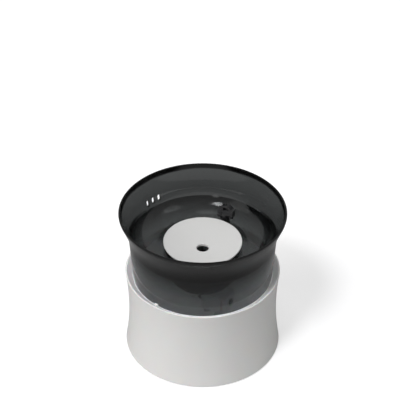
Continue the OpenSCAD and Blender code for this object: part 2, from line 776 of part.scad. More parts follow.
module cord_outside() {
    color(cord_grey) tube(route_outside, [0, 0, 1], 8, cord_d);
}

module cord_coil() {
    color(cord_grey) tube(coil_route, [0, 0, 1], 6, cord_d);
}

// The plug lies on the floor beside the coil and points back to the base
plug_l = 22;
plug_t = 9;
module at_plug() {
    translate(coil_tail[len(coil_tail) - 1]) rotate(180) children();
}

module plug_body() {
    neck_l = 5;
    color(cord_grey) at_plug() {
        translate([-5.5, neck_l, -plug_t / 2]) cube([11, plug_l - neck_l, plug_t]);
        translate([0, neck_l + eps, 0]) rotate([90, 0, 0]) cylinder(r1 = 4, r2 = 2.6, h = neck_l + eps);
    }
}

module plug_shell() {
    color(steel) at_plug() translate([0, plug_l, 0])
        difference() {
            translate([-5.4, 0, -2.25]) cube([10.8, 12, 4.5]);
            translate([-4.9, 1, -0.1]) cube([9.8, 12, 1.9]);
        }
}

base_shell();
bottom_cover();
cover_screws();
rubber_feet();
cord_grommet();
pump_housing();
pump_back_plate();
pump_stator();
pump_shaft();
pump_chamber_cap();
pump_outlet_seal();
pump_suction_cups();
pump_cord_gland();
cord_inside();
cord_outside();
cord_coil();
plug_body();
plug_shell();
intake_cover();
intake_sponge();
flow_dial();
impeller();
rotor_magnet();
bowl_shell();
filter_cup();
riser_tube();
riser_seal();
nozzle_body();
nozzle_knob();
filter_frame();
filter_pad_left();
filter_pad_right();
lid_plate();
lid_body();
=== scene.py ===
# %% [markdown]
# # A pet water fountain
#
# A white tank in a flared skirt carries a smoked clear bowl. A small pump in the tank lifts the
# water through a riser to a black nozzle, and the bowl drains through a filter in its middle.
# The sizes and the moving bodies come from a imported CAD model. This script adds the looks: it
# turns, bends and rounds meshes that have the shape of the real mouldings, and it mixes a
# material for each finish. Sizes are in millimetres and become metres when a piece is finished.

# %% Load the frame
import math

import bmesh
import bpy
from mathutils import Matrix, Vector, noise


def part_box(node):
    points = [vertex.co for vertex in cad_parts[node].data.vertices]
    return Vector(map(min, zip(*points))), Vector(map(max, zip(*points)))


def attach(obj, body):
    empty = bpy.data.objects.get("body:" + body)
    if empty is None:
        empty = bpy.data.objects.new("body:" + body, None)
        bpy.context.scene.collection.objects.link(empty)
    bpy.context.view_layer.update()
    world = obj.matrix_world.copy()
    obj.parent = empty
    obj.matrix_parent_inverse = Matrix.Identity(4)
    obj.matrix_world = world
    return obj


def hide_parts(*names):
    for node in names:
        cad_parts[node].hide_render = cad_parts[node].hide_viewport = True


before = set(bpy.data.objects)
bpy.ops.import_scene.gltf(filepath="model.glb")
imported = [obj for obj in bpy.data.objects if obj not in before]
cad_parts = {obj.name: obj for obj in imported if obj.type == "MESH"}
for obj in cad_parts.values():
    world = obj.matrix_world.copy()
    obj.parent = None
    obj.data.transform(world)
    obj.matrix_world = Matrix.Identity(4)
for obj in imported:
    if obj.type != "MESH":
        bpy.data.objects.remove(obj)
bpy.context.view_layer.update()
scene = bpy.context.scene
MM = 0.001
TURN = 2 * math.pi
print("CAD nodes:", len(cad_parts))

# %% [markdown]
# ## The camera
#
# The photograph looks down on the pieces drawn apart in the air, one above the other. A long
# lens keeps the four of them at nearly one scale, as there. The camera stands in front and
# above, level, so that the vertical axis stays upright in the picture, and its middle ray points
# at the middle of the drawn-apart pieces. It comes first, because the room that the cord may
# take depends on what the camera sees.

# %% Camera
picture_px = 400
sensor_mm = 36
focal_px = 1411
camera_distance = 1400
camera_height = 1237
camera_shift_x = -3.4
camera_down = 36.0

camera_data = bpy.data.cameras.new("camera")
camera_data.sensor_width = sensor_mm
camera_data.lens = focal_px * sensor_mm / picture_px
camera = bpy.data.objects.new("camera", camera_data)
camera.location = Vector((camera_shift_x, -camera_distance, camera_height)) * MM
camera.rotation_euler = (math.radians(90 - camera_down), 0, 0)
scene.collection.objects.link(camera)
scene.camera = camera
print("lens in mm:", round(camera_data.lens, 1))

# %% [markdown]
# ## Shader nodes as plain expressions
#
# A finish is a network of nodes. Written out one node at a time it is long and hard to read, so
# one small class wraps a socket: adding or multiplying two of them adds the Math node that does
# it. Another makes a material, sets its plain values and hands out the nodes.

# %% A socket that can be used in sums
class Wire:
    def __init__(self, finish, socket):
        self.finish = finish
        self.socket = socket

    def math(self, operation, other):
        return self.finish.node("ShaderNodeMath", {"operation": operation}, {0: self, 1: other})

    def __add__(self, other):
        return self.math("ADD", other)

    def __mul__(self, other):
        return self.math("MULTIPLY", other)


# %% A material and its nodes
class Finish:
    def __init__(self, name, **values):
        self.material = bpy.data.materials.new(name)
        self.material.use_nodes = True
        self.nodes = self.material.node_tree.nodes
        self.links = self.material.node_tree.links
        self.shader = self.nodes["Principled BSDF"]
        for key, value in values.items():
            self.put(self.shader.inputs[key.replace("_", " ")], value)

    def put(self, socket, value):
        if isinstance(value, Wire):
            self.links.new(value.socket, socket)
        elif isinstance(value, tuple) and len(value) == 3 and len(socket.default_value) == 4:
            socket.default_value = (*value, 1)
        else:
            socket.default_value = value

    def node(self, kind, settings=None, inputs=None, output=0):
        made = self.nodes.new(kind)
        for key, value in (settings or {}).items():
            if key == "stops":
                while len(made.color_ramp.elements) < len(value):
                    made.color_ramp.elements.new(0.5)
                for element, (place, colour) in zip(made.color_ramp.elements, value):
                    element.position = place
                    element.color = (*colour, 1)
            else:
                setattr(made, key, value)
        for key, value in (inputs or {}).items():
            self.put(made.inputs[key], value)
        return Wire(self, made.outputs[output])

    def place(self):
        """Object coordinates, in metres."""
        return self.node("ShaderNodeTexCoord", output="Object")

    def grain(self, scale, detail=3.0, roughness=0.5):
        inputs = {"Vector": self.place(), "Scale": scale, "Detail": detail, "Roughness": roughness}
        return self.node("ShaderNodeTexNoise", {}, inputs, "Fac")

    def between(self, factor, low, high):
        """A colour between low and high, by factor."""
        return self.node("ShaderNodeMix", {"data_type": "RGBA"}, {0: factor, 6: low, 7: high}, 2)

    def steps(self, factor, *stops):
        return self.node("ShaderNodeValToRGB", {"stops": stops}, {"Fac": factor}, "Color")

    def set(self, name, value):
        self.put(self.shader.inputs[name], value)

    def bump(self, height, strength, distance_mm):
        inputs = {"Height": height, "Strength": strength, "Distance": distance_mm * MM}
        self.set("Normal", self.node("ShaderNodeBump", {}, inputs, "Normal"))


# %% [markdown]
# ## The finishes
#
# Moulded plastic is never one flat colour and gloss. A spark-eroded mould leaves a fine grain
# that breaks the highlight, handling leaves soft patches that are a little glossier, and a thick
# white wall glows slightly where light goes in. Each finish gets its own mix of these, with the
# sizes of the real ones: grain of about half a millimetre, patches of a few centimetres.

# %% White and grey mouldings
def moulded(name, colour, tint, roughness, grain_mm=0.5, grain_depth=0.02, **values):
    """Opaque moulded plastic: colour drifts to tint in wide patches, over a fine grain."""
    spread = 0.05
    finish = Finish(name, **values)
    patches = finish.grain(18, 2)
    fine = finish.grain(1000 / grain_mm, 2)
    finish.set("Base Color", finish.between(patches, colour, tint))
    finish.set("Roughness", patches * spread * 2 + fine * spread + (roughness - 1.5 * spread))
    finish.bump(fine, 0.35, grain_depth)
    return finish


glow = {"Subsurface_Weight": 0.12, "Subsurface_Scale": 0.004}
# The base's outside and its tank are one white plastic in two copies. The outside is a little
# greyer than the real white, which is painted shade. The tank is lighter, with a faint emission,
# which is painted light for the light bounced round the tank.
white_plastic = moulded("white_plastic", (0.70, 0.695, 0.68), (0.73, 0.725, 0.71), 0.36, **glow)
tank_lit_white = moulded("tank_lit_white", (0.90, 0.90, 0.915), (0.93, 0.93, 0.945), 0.28,
                     Emission_Color=(1, 1, 1, 1), Emission_Strength=0.05, **glow)
pump_white = moulded("pump_white", (0.78, 0.78, 0.82), (0.84, 0.84, 0.87), 0.30, 0.4, **glow)
plate_grey = moulded("plate_grey", (0.60, 0.60, 0.585), (0.65, 0.65, 0.64), 0.40, 0.35, 0.03)
dark_grey_plastic = moulded("dark_grey_plastic", (0.085, 0.087, 0.088), (0.105, 0.107, 0.108),
                            0.36, 0.4, 0.03)
black_plastic = moulded("black_plastic", (0.010, 0.010, 0.011), (0.020, 0.020, 0.021), 0.28)
black_rubber = moulded("black_rubber", (0.020, 0.020, 0.020), (0.034, 0.034, 0.034),
                       0.62, 0.3, 0.05)
ceramic_shaft = moulded("ceramic_shaft", (0.80, 0.80, 0.77), (0.86, 0.86, 0.84), 0.30, 0.2, 0.01)

# %% [markdown]
# ## Smoked clear plastic
#
# The bowl is clear plastic with a grey tint that gets darker towards the rim. One wall of the
# skirt lets about a third of the light through and one wall of the flare about a twentieth. At the
# rim's edge the tint goes to near black and lets no light through: painted shade for the dark line
# that refraction draws along the rim. A refracting shader with a tinted base colour adds the walls
# up by itself, because each one tints the light on its way. The surface stays smooth, and only
# wide ripples of the mould bend what shows through it.

# %% Clear, smoked and dark smoked
def clear(name, tint, roughness, ior=1.49, node=None):
    """Clear plastic; with a node, tint is a list of (height, grey) over that node's height."""
    ripple = 0.06
    finish = Finish(name, Transmission_Weight=1.0, IOR=ior, Specular_IOR_Level=0.28)
    patches = finish.grain(22, 2)
    if node:
        low, high = [corner.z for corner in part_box(node)]
        height = finish.node("ShaderNodeSeparateXYZ", {}, {0: finish.place()}, "Z")
        share = finish.node("ShaderNodeMapRange", {}, {
            "Value": height, "From Min": low, "From Max": high})
        stops = [(place, (grey * 0.95, grey, grey)) for place, grey in tint]
        colour = finish.steps(share + patches * 0.04, *stops)
    else:
        colour = finish.between(patches, tint, tuple(1.12 * x for x in tint))
    finish.set("Base Color", colour)
    finish.set("Roughness", patches * 0.03 + (roughness - 0.015))
    finish.bump(finish.grain(45, 1), ripple, 0.5)
    return finish


# The tint darkens towards the rim. The last stop paints the rim's edge near black: painted shade
# for the dark line that refraction draws along the rim.
smoke_and_rim_shade_stops = [(0, 0.36), (0.28, 0.26), (0.40, 0.18), (0.56, 0.07), (0.72, 0.058),
                (0.95, 0.078), (0.962, 0.001)]
smoked_plastic = clear("smoked_plastic", smoke_and_rim_shade_stops, 0.06, node="bowl_shell")
dark_smoked_plastic = clear("dark_smoked_plastic", (0.17, 0.18, 0.18), 0.10)
clear_plastic = clear("clear_plastic", (0.86, 0.88, 0.89), 0.12)
clear_rubber = clear("clear_rubber", (0.80, 0.84, 0.86), 0.25, ior=1.42)

# %% Cord jacket, steel, sponge and the potted core
cord_jacket = moulded("cord_jacket", (0.74, 0.74, 0.745), (0.80, 0.80, 0.805), 0.42, 0.6, 0.03)

steel = Finish("steel", Metallic=1.0)
drawn = steel.node("ShaderNodeMapping", {}, {"Vector": steel.place(), "Scale": (60, 60, 1500)})
lines = steel.node("ShaderNodeTexNoise", {}, {"Vector": drawn, "Scale": 1.0, "Detail": 2.0}, "Fac")
steel.set("Base Color", steel.between(lines, (0.55, 0.55, 0.56), (0.68, 0.68, 0.69)))
steel.set("Roughness", lines * 0.2 + 0.2)
steel.bump(lines, 0.2, 0.01)

sponge = Finish("sponge", Roughness=0.95)
cells = sponge.node("ShaderNodeTexVoronoi", {}, {"Vector": sponge.place(), "Scale": 900.0},
                    "Distance")
# The pores are painted much darker than the web between them: painted shade in the holes.
pore_shade, web = (0.006, 0.007, 0.008), (0.06, 0.066, 0.075)
sponge.set("Base Color", sponge.steps(cells, (0.0, pore_shade), (0.7, web)))
sponge.bump(cells, 0.9, 0.5)

iron_core = Finish("iron_core", Metallic=0.6)
potting = iron_core.grain(220, 4)
iron_core.set("Base Color", iron_core.between(potting, (0.045, 0.045, 0.05), (0.10, 0.10, 0.11)))
iron_core.set("Roughness", potting * 0.3 + 0.35)
iron_core.bump(potting, 0.3, 0.1)

# %% [markdown]
# ## Fleece over carbon grains
#
# The filter's pads are bags of thin white fleece with dark carbon grains in them. Light comes
# through the fleece and shows the grains as soft grey spots, and the colour gets darker towards
# the bottom of each bag. Fine crossing fibres make the surface matt. The same finish without the
# grains is the welded edge, which is only fleece.

# %% Fleece
def fleece_finish(name, grains):
    finish = Finish(name, Sheen_Weight=0.25, Sheen_Roughness=0.6, Subsurface_Weight=0.15,
                    Subsurface_Scale=0.002)
    fibres = finish.grain(1500, 4, 0.7)
    spots = finish.node("ShaderNodeTexVoronoi", {"feature": "SMOOTH_F1"},
                        {"Vector": finish.place(), "Scale": 420.0}, "Distance")
    clouds = finish.grain(60, 3)
    # The grey spots get darker towards the bottom of each bag.
    height = finish.node("ShaderNodeSeparateXYZ", {}, {0: finish.place()}, "Z")
    low, high = [corner.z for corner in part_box("filter_pad_right")]
    low_darkening = finish.node("ShaderNodeMapRange", {}, {
        "Value": height, "From Min": low, "From Max": high, "To Min": -0.22, "To Max": 0.06})
    shade = finish.steps(spots * 0.8 + clouds * 0.6 + low_darkening,
                         (0.26, (0.24, 0.245, 0.245)), (0.60, (0.66, 0.67, 0.67)))
    paper = finish.between(fibres, (0.66, 0.67, 0.67), (0.80, 0.81, 0.81))
    finish.set("Base Color", finish.between(grains, paper, shade))
    finish.set("Roughness", fibres * 0.2 + 0.7)
    finish.bump(fibres + clouds * 1.5, 0.5, 0.25)
    return finish


filter_fleece = fleece_finish("filter_fleece", 0.65)
fleece_edge = fleece_finish("fleece_edge", 0.1)

# %% [markdown]
# ## How a piece is made
#
# Most of these mouldings are bodies of revolution, so a piece starts as one outline, given by its
# corners and how round each of them is, and is spun round the vertical axis. Holes, notches and
# posts are cut or joined with Boolean. All of it happens in millimetres round the frame's own
# origin, so that the finished mesh lies where the CAD says without being moved.

# %% Outlines with round corners
def rounded(corners):
    """(r, z) or (r, z, rounding) corners as the points of a closed outline."""
    pieces = 5
    points = []
    for i, corner in enumerate(corners):
        here = Vector(corner[:2])
        if len(corner) < 3:
            points.append(here)
            continue
        back = (Vector(corners[i - 1][:2]) - here).normalized()
        on = (Vector(corners[(i + 1) % len(corners)][:2]) - here).normalized()
        half = back.angle(on) / 2
        centre = here + (back + on).normalized() * corner[2] / math.sin(half)
        first = here + back * corner[2] / math.tan(half) - centre
        last = here + on * corner[2] / math.tan(half) - centre
        sweep = first.angle_signed(last)
        for k in range(pieces + 1):
            points.append(centre + Matrix.Rotation(-sweep * k / pieces, 2) @ first)
    return points


def turned(corners, steps=160):
    """The outline spun into a closed solid round the vertical axis."""
    solid = bmesh.new()
    ring = [solid.verts.new((p.x, 0, p.y)) for p in rounded(corners)]
    pairs = [(a, b) for a, b in zip(ring, ring[1:] + ring[:1]) if a.co.x > 1e-6 or b.co.x > 1e-6]
    edges = [solid.edges.new(pair) for pair in pairs]
    bmesh.ops.spin(solid, geom=ring + edges, cent=(0, 0, 0), axis=(0, 0, 1), angle=TURN,
                   steps=steps, use_merge=True, use_duplicate=False)
    bmesh.ops.remove_doubles(solid, verts=solid.verts, dist=1e-4)
    bmesh.ops.recalc_face_normals(solid, faces=solid.faces)
    return solid


def bar(r, low, high, place=(0, 0), segments=48, ease=0.0):
    """An upright round bar from low to high, its top edge eased."""
    solid = bmesh.new()
    bmesh.ops.create_cone(solid, cap_ends=True, segments=segments, radius1=r, radius2=r,
                          depth=high - low)
    bmesh.ops.translate(solid, vec=(*place, (low + high) / 2), verts=solid.verts)
    if ease:
        top = [e for e in solid.edges if all(v.co.z > high - 1e-4 for v in e.verts)]
        bmesh.ops.bevel(solid, geom=top, offset=ease, offset_type="OFFSET", segments=3,
                        profile=0.5, affect="EDGES", material=-1)
    return solid


def block(low, high, ease=0.0):
    """A box between two corners, with eased edges."""
    solid = bmesh.new()
    bmesh.ops.create_cube(solid, size=1)
    low, high = Vector(low), Vector(high)
    bmesh.ops.scale(solid, vec=high - low, verts=solid.verts)
    bmesh.ops.translate(solid, vec=(low + high) / 2, verts=solid.verts)
    if ease:
        bmesh.ops.bevel(solid, geom=solid.edges[:], offset=ease, offset_type="OFFSET", segments=3,
                        profile=0.5, affect="EDGES", material=-1)
    return solid


def turn_about_z(solid, degrees):
    bmesh.ops.rotate(solid, cent=(0, 0, 0), matrix=Matrix.Rotation(math.radians(degrees), 3, "Z"),
                     verts=solid.verts)
    return solid


def laid_along_x(solid, z):
    """The upright solid tipped over onto the X axis and raised to z."""
    bmesh.ops.rotate(solid, cent=(0, 0, 0), matrix=Matrix.Rotation(math.pi / 2, 3, "Y"),
                     verts=solid.verts)
    bmesh.ops.translate(solid, vec=(0, 0, z), verts=solid.verts)
    return solid


# %% Booleans on meshes in the making
def as_object(solid, name="making"):
    mesh = bpy.data.meshes.new(name)
    solid.to_mesh(mesh)
    solid.free()
    made = bpy.data.objects.new(name, mesh)
    scene.collection.objects.link(made)
    return made


def combined(solid, others, operation):
    """solid with the others cut out of it or joined to it, one after another."""
    body = as_object(solid)
    for other in others:
        tool = as_object(other)
        boolean = body.modifiers.new("boolean", "BOOLEAN")
        boolean.operation, boolean.solver, boolean.object = operation, "EXACT", tool
        shaped = body.evaluated_get(bpy.context.evaluated_depsgraph_get())
        mesh = bpy.data.meshes.new_from_object(shaped)
        body.modifiers.clear()
        body.data = mesh
        bpy.data.objects.remove(tool)
    result = bmesh.new()
    result.from_mesh(body.data)
    bpy.data.objects.remove(body)
    bmesh.ops.remove_doubles(result, verts=result.verts, dist=1e-4)
    return result


def cut(solid, *tools):
    return combined(solid, tools, "DIFFERENCE")


def joined(solid, *others):
    return combined(solid, others, "UNION")


# %% Finishing a piece
def piece(name, solid, body, finish, *nodes, smooth=34, slot=None):
    """The mesh becomes a piece in metres that rides on its body and stands for its CAD nodes."""
    bmesh.ops.scale(solid, vec=(MM, MM, MM), verts=solid.verts)
    made = as_object(solid, name)
    made.data.shade_smooth()
    made.data.set_sharp_from_angle(angle=math.radians(smooth))
    made.data.materials.append(finish.material)
    even = made.modifiers.new("even", "WEIGHTED_NORMAL")
    even.keep_sharp = True
    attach(made, body)
    if nodes:
        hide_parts(*nodes)
    print(f"{name}: {len(made.data.polygons)} faces")
    return made


def eased(node, body, finish, width, slot=None):
    """A copy of a CAD node's mesh with its hard edges rounded, which stands for the node."""
    flat, sharp = math.radians(0.6), math.radians(30)
    solid = bmesh.new()
    solid.from_mesh(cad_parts[node].data)
    bmesh.ops.scale(solid, vec=(1 / MM, 1 / MM, 1 / MM), verts=solid.verts)
    bmesh.ops.remove_doubles(solid, verts=solid.verts, dist=2e-3)
    bmesh.ops.dissolve_limit(solid, angle_limit=flat, verts=solid.verts, edges=solid.edges)
    hard = [e for e in solid.edges if e.is_manifold and e.calc_face_angle(0) > sharp]
    bmesh.ops.bevel(solid, geom=hard, offset=width, offset_type="OFFSET", segments=2, profile=0.5,
                    affect="EDGES", clamp_overlap=True, material=-1)
    return piece(node + "_eased", solid, body, finish, node, slot=slot, smooth=40)


# %% [markdown]
# ## The cord
#
# A thin low-voltage cord, 3.6 mm across and limp. In the tank it lies on the floor from the pump
# to the back wall and climbs to the grommet, about 150 mm, the only part that the photograph
# shows. Outside it drops to the floor behind the base, where the base hides it, and the rest of
# it is wound up for storage, four turns in on the floor and four out on top, with its plug beside
# the coil. The routes repeat the points of the CAD's cord solids.

# %% Routes of the cord
cord_d = 3.6
outlet_turn, outlet_z = 71.0, 97.0


def out(r, z):
    return (r * math.cos(math.radians(outlet_turn)), r * math.sin(math.radians(outlet_turn)), z)


route_inside = [
    (-5.011, 52.925, 24), (-8.7, 55, 24), (-12.1, 57.4, 21), (-14.4, 60.8, 16), (-14, 64.6, 12.4),
    (-10.5, 67.6, 10.8), (-5, 68.8, 10.2), (1, 69, 10.2), (7, 70.4, 10.6), (13, 71.8, 11.2),
    (19, 72.2, 12.6), (24.5, 71.4, 16), (27.5, 70.6, 22), (28.6, 70.4, 30), (29, 70.6, 40),
    (29, 70.8, 50), (28.6, 71, 60), (27.6, 71.2, 70), (26.2, 71.2, 80), (25, 71.2, 87),
    (24.7, 72, 92), (25.3, 74.2, 95.6), out(81, 97), out(83.5, 97),
]
route_outside = [
    out(113, 97), out(117.4, 97), out(121.9, 94.8), out(125, 90.4), out(126.8, 85), out(127.6, 77),
    out(128, 66), out(128.2, 55), out(128.4, 44), (41.9, 121.6, 33), (41.9, 121.8, 23),
    (41.2, 122.4, 14), (38.8, 124.6, 7), (35.4, 127.4, 3.2), (31.8, 130.6, 1.8),
    (28.9, 134.4, 1.8), (26.9, 138.8, 1.8), (25.6, 143.6, 1.8), (25, 148.4, 1.8),
]
coil_x, coil_y, coil_r, coil_pitch, coil_turns, loop_points = -5, 152, 30, 4.15, 4, 24
for i in range(2 * coil_turns * loop_points + 1):
    turn = i / loop_points
    r = coil_r - coil_pitch * (turn if turn < coil_turns else 2 * coil_turns - turn)
    climb = coil_pitch * max(0, min(1, (turn - coil_turns + 0.25) * 2))
    route_outside.append((coil_x + r * math.cos(TURN * turn), coil_y + r * math.sin(TURN * turn),
                          cord_d / 2 + climb))
route_outside += [
    (25, 158, 5.9), (25.8, 163, 5.6), (28.4, 168.6, 4.6), (33.8, 173.4, 3.2), (40, 175.4, 2.2),
    (46.4, 175, 1.8), (52.4, 172.4, 1.8), (57, 167.6, 2.2), (59.5, 162, 3.4), (60, 157, 4.4),
    (60, 152.6, 4.5),
]


# %% Cords as curves
def cord_along(name, points, *nodes):
    line = bpy.data.curves.new(name, "CURVE")
    line.dimensions, line.bevel_depth, line.bevel_resolution = "3D", cord_d / 2 * MM, 3
    line.resolution_u, line.use_fill_caps = 3, True
    spline = line.splines.new("BEZIER")
    spline.bezier_points.add(len(points) - 1)
    for knot, place in zip(spline.bezier_points, points):
        knot.co = Vector(place) * MM
        knot.handle_left_type = knot.handle_right_type = "AUTO"
    made = bpy.data.objects.new(name, line)
    scene.collection.objects.link(made)
    line.materials.append(cord_jacket.material)
    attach(made, "base")
    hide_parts(*nodes)
    return made


def metres(place):
    return [x * MM for x in place]


cord_in_tank = cord_along("cord_in_tank", route_inside, "cord_inside")
gland = eased("pump_cord_gland", "base", black_rubber, 0.3, slot="black_rubber")
metres(route_inside[0])

cord_out = cord_along("cord_and_coil", route_outside, "cord_outside", "cord_coil")
grommet = eased("cord_grommet", "base", cord_jacket, 0.3, slot="cord_jacket")
plug = eased("plug_body", "base", cord_jacket, 1.0, slot="cord_jacket")
contact = eased("plug_shell", "base", steel, 0.25, slot="steel")
tie_turn, tie_w, tie_t = 100, 6, 0.9
tie_r = [coil_r - coil_turns * coil_pitch - cord_d / 2 - tie_t, coil_r + cord_d / 2 + tie_t]
tie_top = cord_d + coil_pitch + 2 * tie_t
tie = cut(block((tie_r[0], -tie_w / 2, 0.02), (tie_r[1], tie_w / 2, tie_top), 0.3),
          block((tie_r[0] + tie_t, -tie_w, tie_t), (tie_r[1] - tie_t, tie_w, tie_top - tie_t)))
turn_about_z(tie, tie_turn)
bmesh.ops.translate(tie, vec=(coil_x, coil_y, 0), verts=tie.verts)
tie = piece("cord_tie", tie, "base", black_rubber, slot="black_rubber")
metres(route_outside[0])

# %% [markdown]
# ## The white base
#
# Tank, ledge and flared skirt are one white moulding. Outside it follows one long arc with its
# waist a little above half way. The rim has a thin lip, a sloped recess that the bowl drops into,
# and a ledge that carries it. Inside, the wall meets the floor in a wide round. The outline below
# walks up the outside, over the rim, down into the tank and back under it. The faces inside the
# tank and those looking up inside the rim get a lighter copy of the white with a faint emission:
# painted light, for the light that the tank throws back and forth.

# %% Sizes of the base
base_low, base_high = [corner.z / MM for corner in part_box("base_shell")]
waist_r, waist_z, flare_r = 94.8, 64.0, 379.0
wall, lip_w = 2.5, 1.9
ledge_z = base_high - 5.5
ledge_r, seat_r = 86.6, 89.4
lip_r = waist_r + flare_r - math.sqrt(flare_r**2 - (base_high - waist_z) ** 2)
floor_z, floor_round, tank_foot_r = 8.0, 12.0, 79.8


def skirt_r(z, wall_in=0.0):
    return waist_r + flare_r - math.sqrt((flare_r + wall_in) ** 2 - (z - waist_z) ** 2)


# %% Base moulding
def base_corners():
    heights = [base_low + (base_high - 4 - base_low) * i / 30 for i in range(31)]
    outside = [(skirt_r(z), z) for z in heights]
    rim = [(lip_r, base_high, 0.8), (lip_r - lip_w, base_high, 0.5), (seat_r, ledge_z, 0.3),
           (ledge_r, ledge_z, 0.5)]
    tank = [(tank_foot_r, floor_z, floor_round), (0, floor_z), (0, floor_z - wall)]
    under = [(tank_foot_r + wall, floor_z - wall, floor_round + wall),
             (ledge_r + wall, ledge_z - wall)]
    inside = [(skirt_r(z, wall), z) for z in reversed(heights) if z < ledge_z - wall - 1]
    return outside + rim + tank + under + inside


post_y, post_r, post_top_z, strip_y, strip_top_z = 81.5, 8.75, 74.0, 80.8, 103.5
post = bar(post_r, floor_z - 1, post_top_z, (0, post_y), 64, ease=0.9)
strip = block((-post_r, strip_y, post_top_z - 4), (post_r, strip_y + 5, strip_top_z), 0.8)
key_turn, key_w, key_h = 230, 5.0, 2.4
key = block((87.2, -key_w / 2, ledge_z - 1), (90.2, key_w / 2, ledge_z + key_h), 0.5)
turn_about_z(key, key_turn)
outlet_r = 4.0
outlet = turn_about_z(laid_along_x(bar(outlet_r, 80, 105), outlet_z), outlet_turn)
base = cut(joined(turned(base_corners(), 192), post, strip, key), outlet)
base = piece("base_moulding", base, "base", white_plastic, "base_shell", slot="white_plastic")
base.data.materials.append(tank_lit_white.material)
# Faces in the tank and faces looking up inside the rim take the lighter, glowing copy of the
# white: painted light.
for face in base.data.polygons:
    middle = face.center / MM
    outward = Vector((*face.center.xy, 0)).normalized()
    within = middle.xy.length < lip_r - 1 and middle.z > floor_z - 0.1
    in_tank = middle.xy.length < seat_r and face.normal.dot(outward) < 0.2
    if within and (in_tank or face.normal.z > 0.2):
        face.material_index = 1

# %% [markdown]
# ## Level marks
#
# The raised strip carries the mark up to which the tank is filled. Here it is a plain row of
# printed grey lines, long and short, with nothing written. They stand a tenth of a millimetre
# proud of the strip, as a thick print does.

# %% Level marks
marks = Finish("printed_grey")
ink = marks.grain(900, 2)
marks.set("Base Color", marks.between(ink, (0.12, 0.12, 0.13), (0.20, 0.20, 0.21)))
marks.set("Roughness", ink * 0.2 + 0.4)
print_proud, print_h = 0.1, 0.7
for i, (z, half_w) in enumerate([(86, 3.0), (90, 2.0), (94, 3.0), (98, 5.0)]):
    line = block((-half_w, strip_y - print_proud, z - print_h / 2),
                 (half_w, strip_y + 0.1, z + print_h / 2), 0.03)
    piece(f"level_mark_{i}", line, "base", marks, slot="dark_grey_plastic")

# %% [markdown]
# ## The smoked bowl
#
# The bowl's wall is one line from the foot to the rim: a nearly upright skirt that turns softly
# outwards into the flare. The basin leaves it at that turn and runs in one wide round to the
# drinking floor. Three upright slots let the water over when the bowl is full, a notch in the
# foot drops over the key on the ledge, and a collar in the floor guides the riser.

# %% Sizes of the bowl
bowl_low, bowl_top = [corner.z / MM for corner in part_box("bowl_shell")]
rim_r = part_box("bowl_shell")[1].x / MM
bowl_wall = 2.4
knee_z, knee_r, knee_soft, foot_r = bowl_top - 30.0, 93.0, 12.0, 88.6
drink_z = bowl_top - 57.0
hole_r = 46.2
skirt_slope = (knee_r - foot_r) / (knee_z - bowl_low)
flare_slope = (105.0 - knee_r) / (bowl_top - knee_z)


def bowl_r(z):
    """Outer radius at height z: two straight slopes with a parabola between them."""
    up = z - knee_z
    if up > knee_soft:
        return knee_r + flare_slope * up
    if up < -knee_soft:
        return knee_r + skirt_slope * up
    bend = (flare_slope - skirt_slope) * (up + knee_soft) ** 2 / (4 * knee_soft)
    return knee_r + skirt_slope * up + bend


# %% Basin
knee_lean = math.atan((flare_slope + skirt_slope) / 2)
basin_r = (knee_z - drink_z) / (1 - math.sin(knee_lean))
basin_x = bowl_r(knee_z) - bowl_wall - basin_r * math.cos(knee_lean)
basin_z = drink_z + basin_r


def arc(x, z, r, start, end, steps):
    """Points on an arc round (x, z), with angles in radians."""
    turns = [start + (end - start) * i / steps for i in range(steps + 1)]
    return [(x + r * math.cos(turn), z + r * math.sin(turn)) for turn in turns]


fork_turn = -knee_lean
while basin_x + (basin_r + bowl_wall) * math.cos(fork_turn) > bowl_r(
        basin_z + (basin_r + bowl_wall) * math.sin(fork_turn)) - bowl_wall:
    fork_turn -= 0.01
fork_z = basin_z + (basin_r + bowl_wall) * math.sin(fork_turn)


# %% Bowl moulding
def bowl_corners():
    rise = [bowl_low + 2 + (bowl_top - 5 - bowl_low) * i / 34 for i in range(35)]
    foot = [(foot_r - bowl_wall, bowl_low, 0.6), (foot_r, bowl_low, 0.6)]
    outside = [(bowl_r(z), z) for z in rise]
    rim = [(rim_r, bowl_top, 1.1), (rim_r - bowl_wall, bowl_top, 1.0)]
    wall_inside = [(bowl_r(z) - bowl_wall, z) for z in reversed(rise)
                   if knee_z + 1 < z < bowl_top - 3]
    basin = arc(basin_x, basin_z, basin_r, -knee_lean, -math.pi / 2, 24)
    hole = [(hole_r, drink_z, 0.5), (hole_r, drink_z - bowl_wall, 0.5)]
    under = arc(basin_x, basin_z, basin_r + bowl_wall, -math.pi / 2, fork_turn, 22)
    inside = [(bowl_r(z) - bowl_wall, z) for z in reversed(rise)
              if bowl_low + 3 < z < fork_z - 1.5]
    return foot + outside + rim + wall_inside + basin + hole + under + inside


riser_x, riser_y = 28.5, 51.5
slot_z, slot_w, slot_reach = bowl_top - 32, 4.2, 2.1


def overflow_slot(turn):
    """An upright slot with round ends, lying along the radius at turn."""
    slot = bar(slot_w / 2, 83, 105, segments=32)
    for vert in slot.verts:
        vert.co.x += slot_reach if vert.co.x > 1e-4 else -slot_reach
    return turn_about_z(laid_along_x(slot, slot_z), turn)


collar = bar(6.6, drink_z - 10, drink_z + 3.5, (riser_x, riser_y), 64, ease=0.8)
bore = bar(4.53, drink_z - 20, drink_z + 20, (riser_x, riser_y), 64)
notch_w, notch_h = 6.4, 3
notch = block((80, -notch_w / 2, bowl_low - 1), (100, notch_w / 2, bowl_low + notch_h), 0.6)
turn_about_z(notch, key_turn)
bowl = joined(turned(bowl_corners(), 192), collar)
bowl = cut(bowl, bore, notch, *[overflow_slot(turn) for turn in (128, 134, 140)])
piece("bowl_moulding", bowl, "bowl", smoked_plastic, "bowl_shell", slot="smoked_plastic")

